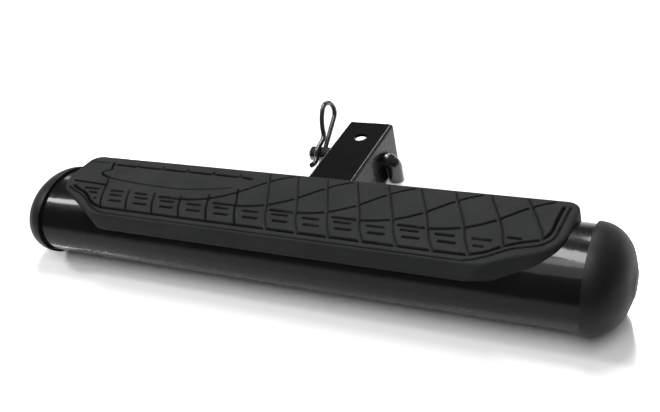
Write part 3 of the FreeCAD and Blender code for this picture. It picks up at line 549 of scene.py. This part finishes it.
def add_side(skin, inner):
    """Add the rounded edge and the skirt below it, and give the skirt's foot."""
    crown = crown_height(ring_at(EDGE_RADIUS)[:, 1])
    for step in range(1, EDGE_RINGS + 1):
        angle = math.pi / 2 * step / EDGE_RINGS
        points = ring_at(EDGE_RADIUS * (1 - math.sin(angle)))
        outer = skin.add(points, crown - EDGE_RADIUS * (1 - math.cos(angle)))
        skin.bridge(outer, inner)
        inner = outer
    for step in range(1, SKIRT_RINGS + 1):
        share = step / SKIRT_RINGS
        heights = (crown - EDGE_RADIUS) * (1 - share) + PAD_BOTTOM * share
        outer = skin.add(ring_at(0.0, share), heights)
        skin.bridge(outer, inner)
        inner = outer
    return inner


def add_underside(skin, foot):
    """Add the skirt's flat bottom, a wall up to the seat, and the seat over the tube."""
    points = ring_at(SKIRT_WALL, 1.0)
    inner = skin.add(points, np.full(len(points), PAD_BOTTOM))
    skin.bridge(inner, foot)
    seat = fill_patch(SKIRT_WALL)
    share = np.clip(np.abs(seat[..., 1]) / (TUBE_HALF_DEPTH + SEAT_GAP), 0.0, 1.0)
    roof = (TUBE_HALF_HEIGHT + SEAT_GAP) * np.sqrt(1 - share**2)
    numbers = skin.add(seat.reshape(-1, 2), roof.ravel()).reshape(seat.shape[:2])
    skin.fill(numbers, faces_up=False)
    skin.bridge(rim_of(numbers), inner)


def tread_mesh():
    """The pad as one closed mesh."""
    skin = Skin()
    rim = add_top(skin)
    foot = add_side(skin, rim)
    add_underside(skin, foot)
    mesh = bpy.data.meshes.new("tread_pad")
    place = np.vstack(skin.points) * MM + np.array(TUBE_MIDDLE)
    mesh.from_pydata(place.tolist(), [], skin.faces)
    # The painted shade of each point, which the tread's material uses to darken the slots.
    painted_slot_shade = mesh.attributes.new("painted_slot_shade", "FLOAT", "POINT")
    painted_slot_shade.data.foreach_set("value", np.concatenate(skin.painted_shades))
    mesh.validate()
    return mesh


# ----------------------------------------------------------------- materials


class Shader:
    """A material's nodes, with short ways to add and link them."""

    def __init__(self, name):
        self.material = bpy.data.materials.new(name)
        self.material.use_nodes = True
        self.nodes = self.material.node_tree.nodes
        self.links = self.material.node_tree.links
        self.surface = self.nodes["Principled BSDF"]

    def add(self, kind, inputs=None, **settings):
        """Add a node, with its settings and its sockets' values or links."""
        node = self.nodes.new(kind)
        for key, value in settings.items():
            setattr(node, key, value)
        for key, value in (inputs or {}).items():
            self.put(node, key, value)
        return node

    def put(self, node, key, value):
        """Set a socket to a value, or link it to another socket."""
        if isinstance(value, bpy.types.NodeSocket):
            self.links.new(value, node.inputs[key])
        else:
            node.inputs[key].default_value = value

    def set(self, **values):
        """Set the main shader's sockets by name, with _ for a space."""
        for key, value in values.items():
            self.put(self.surface, key.replace("_", " "), value)

    def noise(self, scale, detail=4.0, rough=0.5, stretch=(1.0, 1.0, 1.0)):
        """A noise over the object, with its scale in features per metre."""
        place = self.add("ShaderNodeTexCoord")
        mapping = self.add("ShaderNodeMapping", {"Vector": place.outputs["Object"], "Scale": stretch})
        return self.add(
            "ShaderNodeTexNoise",
            {"Vector": mapping.outputs[0], "Scale": scale, "Detail": detail, "Roughness": rough},
        ).outputs["Fac"]

    def ramp(self, value, low, high, to_low, to_high):
        """Stretch a value from one range to another, clamped."""
        return self.add(
            "ShaderNodeMapRange",
            {0: value, 1: low, 2: high, 3: to_low, 4: to_high},
        ).outputs[0]

    def blend(self, factor, one, other):
        """Mix two colours, given as colours or sockets."""
        node = self.add("ShaderNodeMix", {0: factor}, data_type="RGBA")
        for key, value in ((6, one), (7, other)):
            if not isinstance(value, bpy.types.NodeSocket):
                value = (*value, 1.0)
            self.put(node, key, value)
        return node.outputs[2]

    def times(self, one, other):
        """The product of two numbers."""
        return self.add("ShaderNodeMath", {0: one, 1: other}, operation="MULTIPLY").outputs[0]

    def plus(self, one, other):
        """The sum of two numbers."""
        return self.add("ShaderNodeMath", {0: one, 1: other}, operation="ADD").outputs[0]

    def bump(self, height, distance, strength=1.0):
        """Raise the surface by a height times a distance in metres."""
        node = self.add("ShaderNodeBump", {"Height": height, "Distance": distance, "Strength": strength})
        self.set(Normal=node.outputs[0])


def gloss_black():
    """Black powder coat under a clear gloss, with a faint orange peel."""
    shade = Shader("gloss_black_steel")
    patches = shade.ramp(shade.noise(14.0), 0.35, 0.65, 0.0, 1.0)
    colour = shade.blend(patches, (0.0042, 0.0044, 0.0048), (0.0056, 0.0057, 0.0057))
    rough = shade.ramp(shade.noise(60.0, 6.0, 0.6), 0.3, 0.7, 0.24, 0.32)
    shade.set(
        Base_Color=colour,
        Roughness=rough,
        Specular_IOR_Level=0.06,
        Coat_Weight=0.27,
        Coat_Roughness=0.09,
        Coat_IOR=1.45,
    )
    shade.bump(shade.noise(260.0, 2.0), 0.00003, 0.012)
    return shade.material


def tread_plastic():
    """Moulded black plastic with a fine grain, with painted shade in its slots, which are rougher too.
    """
    shade = Shader("tread_plastic")
    patches = shade.ramp(shade.noise(26.0, 5.0, 0.55), 0.36, 0.64, 0.0, 1.0)
    colour = shade.blend(patches, (0.0220, 0.0229, 0.0240), (0.0262, 0.0272, 0.0268))
    speckle = shade.ramp(shade.noise(2600.0, 2.0), 0.6, 0.8, 0.0, 0.3)
    colour = shade.blend(speckle, colour, (0.046, 0.047, 0.049))
    painted_slot_shade = shade.add("ShaderNodeAttribute", attribute_name="painted_slot_shade").outputs["Fac"]
    # Painted shade: the slots' bottoms are darkened towards near black, where shade falls.
    colour = shade.blend(painted_slot_shade, colour, (0.0010, 0.0010, 0.0012))
    grain = shade.noise(1500.0, 3.0, 0.6)
    rough = shade.ramp(shade.noise(90.0, 4.0), 0.3, 0.7, 0.54, 0.64)
    rough = shade.plus(rough, shade.times(painted_slot_shade, 0.3))
    shade.set(Base_Color=colour, Roughness=rough, Specular_IOR_Level=0.06)
    shade.bump(grain, 0.00012, 0.5)
    return shade.material


def cap_plastic():
    """Black moulded plastic with a satin skin."""
    shade = Shader("cap_plastic")
    patches = shade.ramp(shade.noise(18.0, 4.0), 0.35, 0.65, 0.0, 1.0)
    colour = shade.blend(patches, (0.0060, 0.0063, 0.0067), (0.0085, 0.0088, 0.0091))
    rough = shade.ramp(shade.noise(70.0, 5.0, 0.6), 0.3, 0.7, 0.42, 0.52)
    shade.set(Base_Color=colour, Roughness=rough, Specular_IOR_Level=0.17)
    shade.bump(shade.noise(1700.0, 2.0), 0.00005, 0.35)
    return shade.material


def black_wire():
    """Glossy black plate of the pin and its clip, with fine drawing marks."""
    shade = Shader("glossy_black_pin")
    marks = shade.noise(240.0, 4.0, 0.6, (0.15, 1.0, 1.0))
    colour = shade.blend(marks, (0.009, 0.009, 0.008), (0.021, 0.021, 0.017))
    rough = shade.ramp(shade.noise(150.0, 5.0), 0.3, 0.7, 0.16, 0.28)
    shade.set(Base_Color=colour, Metallic=0.0, Roughness=rough, Specular_IOR_Level=0.5)
    shade.set(Coat_Weight=0.8, Coat_Roughness=0.05)
    shade.bump(marks, 0.00006, 0.3)
    return shade.material


def zinc_steel():
    """Zinc plate: pale grey with a cloudy spangle."""
    shade = Shader("zinc_hardware")
    cells = shade.noise(500.0, 5.0, 0.65)
    colour = shade.blend(cells, (0.42, 0.44, 0.47), (0.58, 0.59, 0.60))
    shade.set(Base_Color=colour, Metallic=1.0, Roughness=shade.ramp(cells, 0.3, 0.7, 0.26, 0.42))
    shade.bump(shade.noise(900.0, 3.0), 0.00004, 0.3)
    return shade.material


def black_oxide():
    """Black oxide on bolts and nuts: dark, oily, with worn lighter spots."""
    shade = Shader("black_hardware")
    worn = shade.ramp(shade.noise(420.0, 5.0, 0.6), 0.5, 0.75, 0.0, 1.0)
    colour = shade.blend(worn, (0.022, 0.022, 0.024), (0.06, 0.058, 0.055))
    shade.set(Base_Color=colour, Metallic=0.7, Roughness=shade.ramp(worn, 0.0, 1.0, 0.34, 0.46))
    shade.bump(shade.noise(1200.0, 3.0), 0.00005, 0.35)
    return shade.material


def stud_plastic():
    """Natural nylon of the hidden studs."""
    shade = Shader("stud_plastic")
    tone_and_painted_shade = shade.noise(120.0, 3.0)
    colour = shade.blend(tone_and_painted_shade, (0.05, 0.05, 0.052), (0.075, 0.075, 0.078))
    shade.set(Base_Color=colour, Roughness=shade.ramp(tone_and_painted_shade, 0.3, 0.7, 0.42, 0.55))
    shade.bump(shade.noise(1400.0, 2.0), 0.00004, 0.3)
    return shade.material


FINISHES = {
    "gloss_black_steel": gloss_black(),
    "tread_plastic": tread_plastic(),
    "stud_plastic": stud_plastic(),
    "cap_plastic": cap_plastic(),
    "black_hardware": black_oxide(),
    "zinc_hardware": zinc_steel(),
    "glossy_black_pin": black_wire(),
}
NODE_FINISHES = {
    "step_tube": "gloss_black_steel",
    "hitch_bar": "gloss_black_steel",
    "bracket_cheek_left": "gloss_black_steel",
    "bracket_cheek_right": "gloss_black_steel",
    "bracket_stop_plate": "gloss_black_steel",
    "bracket_top_plate": "gloss_black_steel",
    "weld_bead_left": "gloss_black_steel",
    "weld_bead_right": "gloss_black_steel",
    "pad_studs": "stud_plastic",
    "end_cap_left": "cap_plastic",
    "end_cap_right": "cap_plastic",
    "cap_screws": "black_hardware",
    "bar_bolts": "black_hardware",
    "bar_nuts": "black_hardware",
    "flat_washers": "zinc_hardware",
    "spring_washers": "zinc_hardware",
    "crush_sleeves": "zinc_hardware",
    "hitch_pin": "glossy_black_pin",
    "pin_clip": "glossy_black_pin",
}


def dress_nodes():
    """Give each CAD node that stays its finish."""
    for name, finish in NODE_FINISHES.items():
        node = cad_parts[name]
        node.data.materials.clear()
        node.data.materials.append(FINISHES[finish])


def make_tread():
    """The pad with its slots, in place of the CAD's plain pad."""
    mesh = tread_mesh()
    tread = bpy.data.objects.new("tread_pad", mesh)
    bpy.context.scene.collection.objects.link(tread)
    mesh.shade_smooth()
    mesh.materials.append(FINISHES["tread_plastic"])
    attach(tread, "step")
    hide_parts("step_pad")


# -------------------------------------------------------------- set and view


def ray_weight(shade):
    """One for rays from the camera, from gloss and through glass, else zero."""
    path = shade.add("ShaderNodeLightPath").outputs
    seen = shade.plus(path["Is Camera Ray"], path["Is Glossy Ray"])
    seen = shade.plus(seen, path["Is Transmission Ray"])
    return shade.add("ShaderNodeMath", {0: seen, 1: 1.0}, operation="MINIMUM").outputs[0]


# The floor's half length in metres, and the distances between which it fades from
# a shaded floor to plain white, as far as the horizon.
FLOOR_HALF = 12.0
FLOOR_FADE = (1.5, 2.8)
# The floor's own colour as it is seen, the darker one by which it lights the step
# from below, and how much of it is gloss.
FLOOR_SEEN = (1.3, 1.3, 1.3)
FLOOR_BOUNCE = (0.45, 0.45, 0.45)
FLOOR_GLOSS = 0.12
WHITE = (1.0, 1.0, 1.0, 1.0)


def floor_finish():
    """A pale, slightly glossy floor that turns plain white far from the step."""
    shade = Shader("floor")
    shade.nodes.remove(shade.surface)
    seen = ray_weight(shade)
    colour = shade.blend(seen, FLOOR_BOUNCE, FLOOR_SEEN)
    diffuse = shade.add("ShaderNodeBsdfDiffuse", {"Color": colour})
    gloss = shade.add("ShaderNodeBsdfGlossy", {"Color": WHITE, "Roughness": 0.12})
    shaders = {0: FLOOR_GLOSS, 1: diffuse.outputs[0], 2: gloss.outputs[0]}
    near = shade.add("ShaderNodeMixShader", shaders)
    place = shade.add("ShaderNodeTexCoord").outputs["Object"]
    away = shade.add("ShaderNodeVectorMath", {0: place}, operation="LENGTH").outputs["Value"]
    far = shade.times(shade.ramp(away, *FLOOR_FADE, 0.0, 1.0), seen)
    glow = shade.add("ShaderNodeEmission", {"Color": WHITE, "Strength": 1.0})
    shaders = {0: far, 1: near.outputs[0], 2: glow.outputs[0]}
    both = shade.add("ShaderNodeMixShader", shaders)
    output = shade.nodes["Material Output"]
    shade.links.new(both.outputs[0], output.inputs["Surface"])
    return shade.material


def make_floor():
    """The floor that keeps the step's shadow and a soft reflection."""
    half = FLOOR_HALF
    corners = [(-half, -half, 0), (half, -half, 0), (half, half, 0), (-half, half, 0)]
    mesh = bpy.data.meshes.new("floor")
    mesh.from_pydata(corners, [], [(0, 1, 2, 3)])
    mesh.materials.append(floor_finish())
    floor = bpy.data.objects.new("floor", mesh)
    bpy.context.scene.collection.objects.link(floor)


def area_light(name, place, target, wide, tall, power):
    """A rectangular lamp that faces a target."""
    lamp = bpy.data.lights.new(name, "AREA")
    lamp.shape = "RECTANGLE"
    lamp.size = wide
    lamp.size_y = tall
    lamp.energy = power
    item = bpy.data.objects.new(name, lamp)
    bpy.context.scene.collection.objects.link(item)
    way = Vector(target) - Vector(place)
    turn = way.to_track_quat("-Z", "Y").to_matrix().to_4x4()
    item.matrix_world = Matrix.Translation(place) @ turn
    return item


def make_lights():
    """Soft boxes over the step and behind it."""
    area_light("left_box", (-2.59, -0.25, 2.43), (-0.26, -0.10, 0.05), 0.44, 0.78, 40.0)
    area_light("top_box", (-0.16, 0.65, 2.43), (0.2, -0.08, 0.05), 0.31, 1.0, 33.0)
    area_light("edge_box", (0.0, 2.2, 1.85), (0.0, 0.05, 0.05), 0.3, 0.45, 15.0)
    area_light("rim_box", (-1.96, 1.5, 1.09), (-0.26, -0.08, 0.05), 0.5, 0.25, 3.0)
    area_light("back_box", (1.25, 1.95, 0.97), (0.0, 0.0, 0.05), 0.5, 0.25, 2.0)
    fill = area_light("front_fill", (0.35, -1.25, 2.2), (0.0, -0.08, 0.0), 1.6, 1.6, 28.0)
    fill.visible_glossy = False
    # Two panels overhead that show only in gloss: the sheen below the top box's streak.
    near = area_light("near_sheen", (-0.1, 0.0, 2.43), (-0.1, 0.0, 0.0), 1.0, 0.45, 15.0)
    far = area_light("far_sheen", (-0.1, -0.65, 2.35), (-0.1, -0.1, 0.0), 1.0, 0.86, 7.0)
    near.visible_diffuse = False
    far.visible_diffuse = False


# The room is white near the horizon and grey above it: each colour, and the height
# of the direction where it stands (zero at the horizon, one overhead).
ROOM_STOPS = ((0.04, WHITE), (0.12, (0.12, 0.12, 0.124, 1.0)))


def make_room():
    """A dim room with a white horizon."""
    world = bpy.data.worlds.new("room")
    bpy.context.scene.world = world
    world.use_nodes = True
    nodes = world.node_tree.nodes
    links = world.node_tree.links
    background = nodes["Background"]
    background.inputs["Strength"].default_value = 1.0
    place = nodes.new("ShaderNodeTexCoord")
    split = nodes.new("ShaderNodeSeparateXYZ")
    links.new(place.outputs["Generated"], split.inputs[0])
    ramp = nodes.new("ShaderNodeValToRGB")
    links.new(split.outputs["Z"], ramp.inputs[0])
    for stop, (position, colour) in zip(ramp.color_ramp.elements, ROOM_STOPS):
        stop.position = position
        stop.color = colour
    links.new(ramp.outputs[0], background.inputs["Color"])


# Camera: place from the tube's middle in metres, angles in degrees.
CAMERA_PLACE = (0.362458, -0.528395, 0.452462)
CAMERA_YAW = -31.0474
CAMERA_PITCH = -33.6631
CAMERA_ROLL = -12.0411
CAMERA_LENS = 46.132


def make_camera():
    """The camera's place, aim and lens."""
    yaw = math.radians(CAMERA_YAW)
    pitch = math.radians(CAMERA_PITCH)
    roll = math.radians(CAMERA_ROLL)
    ahead = Vector((math.sin(yaw) * math.cos(pitch), math.cos(yaw) * math.cos(pitch), math.sin(pitch)))
    level = ahead.cross(Vector((0, 0, 1))).normalized()
    raised = level.cross(ahead)
    right = level * math.cos(roll) + raised * math.sin(roll)
    up = raised * math.cos(roll) - level * math.sin(roll)
    data = bpy.data.cameras.new("camera")
    data.lens = CAMERA_LENS
    data.sensor_width = 36.0
    camera = bpy.data.objects.new("camera", data)
    bpy.context.scene.collection.objects.link(camera)
    turn = Matrix((right, up, -ahead)).transposed().to_4x4()
    place = Vector(CAMERA_PLACE) + Vector((0.0, TUBE_MIDDLE.y, TUBE_MIDDLE.z))
    camera.matrix_world = Matrix.Translation(place) @ turn
    bpy.context.scene.camera = camera


bpy.context.scene.view_settings.view_transform = "Standard"
make_camera()
dress_nodes()
make_tread()
make_floor()
make_lights()
make_room()
